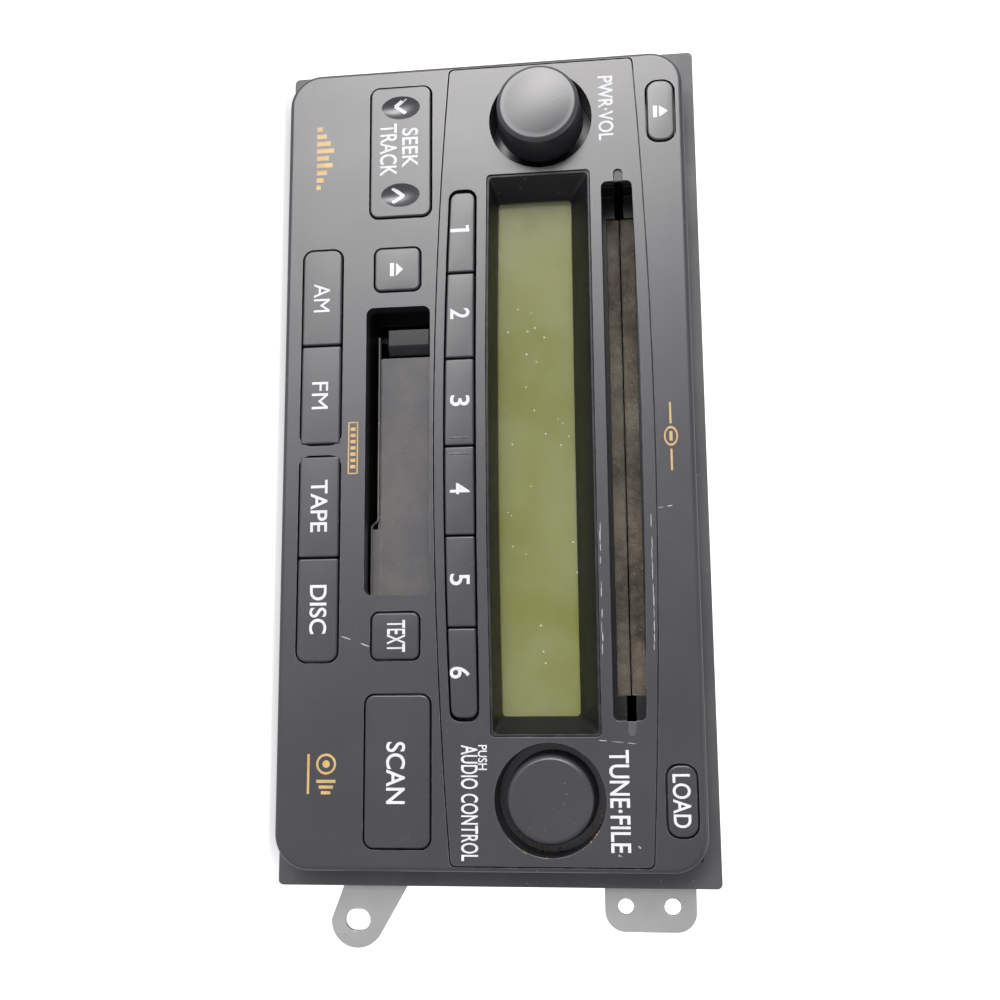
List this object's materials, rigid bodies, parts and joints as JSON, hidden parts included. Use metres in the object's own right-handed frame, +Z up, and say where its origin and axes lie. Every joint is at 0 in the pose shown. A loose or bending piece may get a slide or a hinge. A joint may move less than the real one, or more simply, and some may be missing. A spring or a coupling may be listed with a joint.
{
  "type": "car radio",
  "caption": "Double-height dashboard radio with display, two push-in knobs, button rows, a cassette door, a disc slot and a steel chassis with side bracket ears.",
  "frame": {"origin": "middle of the flat underside of the chassis", "axes": "+X to the right across the face, +Y from the face into the radio, +Z up"},
  "size_m": [0.2142, 0.1936, 0.1011],
  "materials": {
    "charcoal_plastic": "matte, fine grain",
    "button_plastic": "matte, soft sheen",
    "frame_plastic": "matte",
    "black_plastic": "satin black",
    "door_grey": "matte grey",
    "clear_window": "clear, dusty",
    "display_green": "yellow-green reflective",
    "felt": "brown-grey felt",
    "board_green": "solder resist",
    "switch_black": "matte",
    "zinc_steel": "zinc plated",
    "bright_steel": "bright",
    "aluminium": "extruded, satin",
    "brass": "turned",
    "white_plastic": "natural acetal",
    "rubber": "matte",
    "nickel": "nickel plated"
  },
  "bodies": {
    "radio": {"antenna_socket": "nickel", "board_components": "black_plastic", "cassette_guide": "black_plastic", "centre_panel": "charcoal_plastic", "chassis_screws": "bright_steel", "chassis_tray": "zinc_steel", "disc_deck_frame": "zinc_steel", "disc_felts": "felt", "disc_guide": "black_plastic", "disc_motors": "bright_steel", "display_lens": "clear_window", "display_mask": "black_plastic", "display_panel": "display_green", "drive_belt": "rubber", "encoder_housings": "black_plastic", "fascia_bezel": "charcoal_plastic", "front_board": "board_green", "heat_sink": "aluminium", "main_board": "board_green", "rear_connector": "black_plastic", "rear_frame": "frame_plastic", "rear_panel": "zinc_steel", "side_bracket": "zinc_steel", "tact_switches": "switch_black", "tape_deck_frame": "zinc_steel", "tape_head": "bright_steel", "tape_motor": "bright_steel", "top_cover": "zinc_steel", "tuner_module": "zinc_steel"},
    "preset_button_1": {"preset_button_1": "button_plastic"},
    "preset_button_2": {"preset_button_2": "button_plastic"},
    "preset_button_3": {"preset_button_3": "button_plastic"},
    "preset_button_4": {"preset_button_4": "button_plastic"},
    "preset_button_5": {"preset_button_5": "button_plastic"},
    "preset_button_6": {"preset_button_6": "button_plastic"},
    "am_button": {"am_button": "button_plastic"},
    "fm_button": {"fm_button": "button_plastic"},
    "tape_button": {"tape_button": "button_plastic"},
    "disc_button": {"disc_button": "button_plastic"},
    "scan_button": {"scan_button": "button_plastic"},
    "text_button": {"text_button": "button_plastic"},
    "tape_eject_button": {"tape_eject_button": "button_plastic"},
    "disc_eject_button": {"disc_eject_button": "button_plastic"},
    "load_button": {"load_button": "button_plastic"},
    "seek_rocker": {"seek_rocker": "button_plastic"},
    "volume_rotor": {"volume_rotor": "bright_steel"},
    "volume_knob": {"volume_knob": "button_plastic"},
    "tune_rotor": {"tune_rotor": "bright_steel"},
    "tune_knob": {"tune_knob": "button_plastic"},
    "cassette_door": {"cassette_door": "door_grey", "door_lever": "black_plastic"},
    "flywheel": {"flywheel": "brass"},
    "motor_pulley": {"motor_pulley": "brass"},
    "reel_hub_front": {"reel_hub_front": "white_plastic"},
    "reel_hub_rear": {"reel_hub_rear": "white_plastic"},
    "turntable": {"turntable": "white_plastic"},
    "loading_roller": {"loading_roller": "rubber"},
    "loading_pinion": {"loading_pinion": "white_plastic"},
    "laser_sled": {"laser_sled": "white_plastic"},
    "lead_screw": {"lead_screw": "bright_steel"}
  },
  "joints": [
    {"name": "preset_button_1_press", "type": "slide", "parent": "radio", "child": "preset_button_1", "axis": [0, 1, 0], "range_m": [0, 0.001], "stiffness_N_per_m": 900},
    {"name": "preset_button_2_press", "type": "slide", "parent": "radio", "child": "preset_button_2", "axis": [0, 1, 0], "range_m": [0, 0.001], "stiffness_N_per_m": 900},
    {"name": "preset_button_3_press", "type": "slide", "parent": "radio", "child": "preset_button_3", "axis": [0, 1, 0], "range_m": [0, 0.001], "stiffness_N_per_m": 900},
    {"name": "preset_button_4_press", "type": "slide", "parent": "radio", "child": "preset_button_4", "axis": [0, 1, 0], "range_m": [0, 0.001], "stiffness_N_per_m": 900},
    {"name": "preset_button_5_press", "type": "slide", "parent": "radio", "child": "preset_button_5", "axis": [0, 1, 0], "range_m": [0, 0.001], "stiffness_N_per_m": 900},
    {"name": "preset_button_6_press", "type": "slide", "parent": "radio", "child": "preset_button_6", "axis": [0, 1, 0], "range_m": [0, 0.001], "stiffness_N_per_m": 900},
    {"name": "am_button_press", "type": "slide", "parent": "radio", "child": "am_button", "axis": [0, 1, 0], "range_m": [0, 0.001], "stiffness_N_per_m": 900},
    {"name": "fm_button_press", "type": "slide", "parent": "radio", "child": "fm_button", "axis": [0, 1, 0], "range_m": [0, 0.001], "stiffness_N_per_m": 900},
    {"name": "tape_button_press", "type": "slide", "parent": "radio", "child": "tape_button", "axis": [0, 1, 0], "range_m": [0, 0.001], "stiffness_N_per_m": 900},
    {"name": "disc_button_press", "type": "slide", "parent": "radio", "child": "disc_button", "axis": [0, 1, 0], "range_m": [0, 0.001], "stiffness_N_per_m": 900},
    {"name": "scan_button_press", "type": "slide", "parent": "radio", "child": "scan_button", "axis": [0, 1, 0], "range_m": [0, 0.001], "stiffness_N_per_m": 900},
    {"name": "text_button_press", "type": "slide", "parent": "radio", "child": "text_button", "axis": [0, 1, 0], "range_m": [0, 0.001], "stiffness_N_per_m": 900},
    {"name": "tape_eject_button_press", "type": "slide", "parent": "radio", "child": "tape_eject_button", "axis": [0, 1, 0], "range_m": [0, 0.001], "stiffness_N_per_m": 900},
    {"name": "disc_eject_button_press", "type": "slide", "parent": "radio", "child": "disc_eject_button", "axis": [0, 1, 0], "range_m": [0, 0.001], "stiffness_N_per_m": 900},
    {"name": "load_button_press", "type": "slide", "parent": "radio", "child": "load_button", "axis": [0, 1, 0], "range_m": [0, 0.001], "stiffness_N_per_m": 900},
    {"name": "seek_rocker_tilt", "type": "hinge", "parent": "radio", "child": "seek_rocker", "pos_m": [-0.0737, -0.0823, 0.02975], "axis": [0, 0, 1], "range_deg": [-2.5, 2.5], "stiffness_Nm_per_rad": 0.25},
    {"name": "volume_turn", "type": "hinge", "parent": "radio", "child": "volume_rotor", "pos_m": [-0.08, -0.0715, 0.0639], "axis": [0, 1, 0], "continuous": true},
    {"name": "volume_push", "type": "slide", "parent": "volume_rotor", "child": "volume_knob", "axis": [0, 1, 0], "range_m": [0, 0.0082]},
    {"name": "tune_turn", "type": "hinge", "parent": "radio", "child": "tune_rotor", "pos_m": [0.08, -0.0715, 0.0639], "axis": [0, 1, 0], "continuous": true},
    {"name": "tune_push", "type": "slide", "parent": "tune_rotor", "child": "tune_knob", "axis": [0, 1, 0], "range_m": [-0.0082, 0]},
    {"name": "cassette_door_swing", "type": "hinge", "parent": "radio", "child": "cassette_door", "pos_m": [0, -0.0833, 0.039], "axis": [1, 0, 0], "range_deg": [0, 85], "stiffness_Nm_per_rad": 0.004},
    {"name": "capstan_spin", "type": "hinge", "parent": "radio", "child": "flywheel", "pos_m": [-0.0269, -0.03595, 0.0104], "axis": [0, 0, 1], "continuous": true},
    {"name": "tape_motor_spin", "type": "hinge", "parent": "radio", "child": "motor_pulley", "pos_m": [0.0461, 0.0175, 0.0104], "axis": [0, 0, 1], "continuous": true},
    {"name": "front_hub_spin", "type": "hinge", "parent": "radio", "child": "reel_hub_front", "pos_m": [0.003, -0.04395, 0.0229], "axis": [0, 0, 1], "continuous": true},
    {"name": "rear_hub_spin", "type": "hinge", "parent": "radio", "child": "reel_hub_rear", "pos_m": [0.003, -0.00145, 0.0229], "axis": [0, 0, 1], "continuous": true},
    {"name": "disc_spin", "type": "hinge", "parent": "radio", "child": "turntable", "pos_m": [0, 0.0041, 0.08038], "axis": [0, 0, 1], "continuous": true},
    {"name": "roller_spin", "type": "hinge", "parent": "radio", "child": "loading_roller", "pos_m": [0.0614, -0.0639, 0.07737], "axis": [1, 0, 0], "continuous": true},
    {"name": "loading_motor_spin", "type": "hinge", "parent": "radio", "child": "loading_pinion", "pos_m": [0.0614, -0.0539, 0.07737], "axis": [1, 0, 0], "continuous": true},
    {"name": "sled_travel", "type": "slide", "parent": "radio", "child": "laser_sled", "axis": [1, 0, 0], "range_m": [0, 0.0295]},
    {"name": "lead_screw_spin", "type": "hinge", "parent": "radio", "child": "lead_screw", "pos_m": [0.005, 0.0201, 0.07287], "axis": [1, 0, 0], "range_deg": [0, 3600]}
  ],
  "couplings": [
    {"joint": "tape_motor_spin", "follows": "capstan_spin", "ratio": 5.6667},
    {"joint": "front_hub_spin", "follows": "capstan_spin", "ratio": 0.08},
    {"joint": "rear_hub_spin", "follows": "capstan_spin", "ratio": 0.08},
    {"joint": "loading_motor_spin", "follows": "roller_spin", "ratio": -1.5},
    {"joint": "lead_screw_spin", "follows": "sled_travel", "rad_per_m": 2129.7}
  ]
}
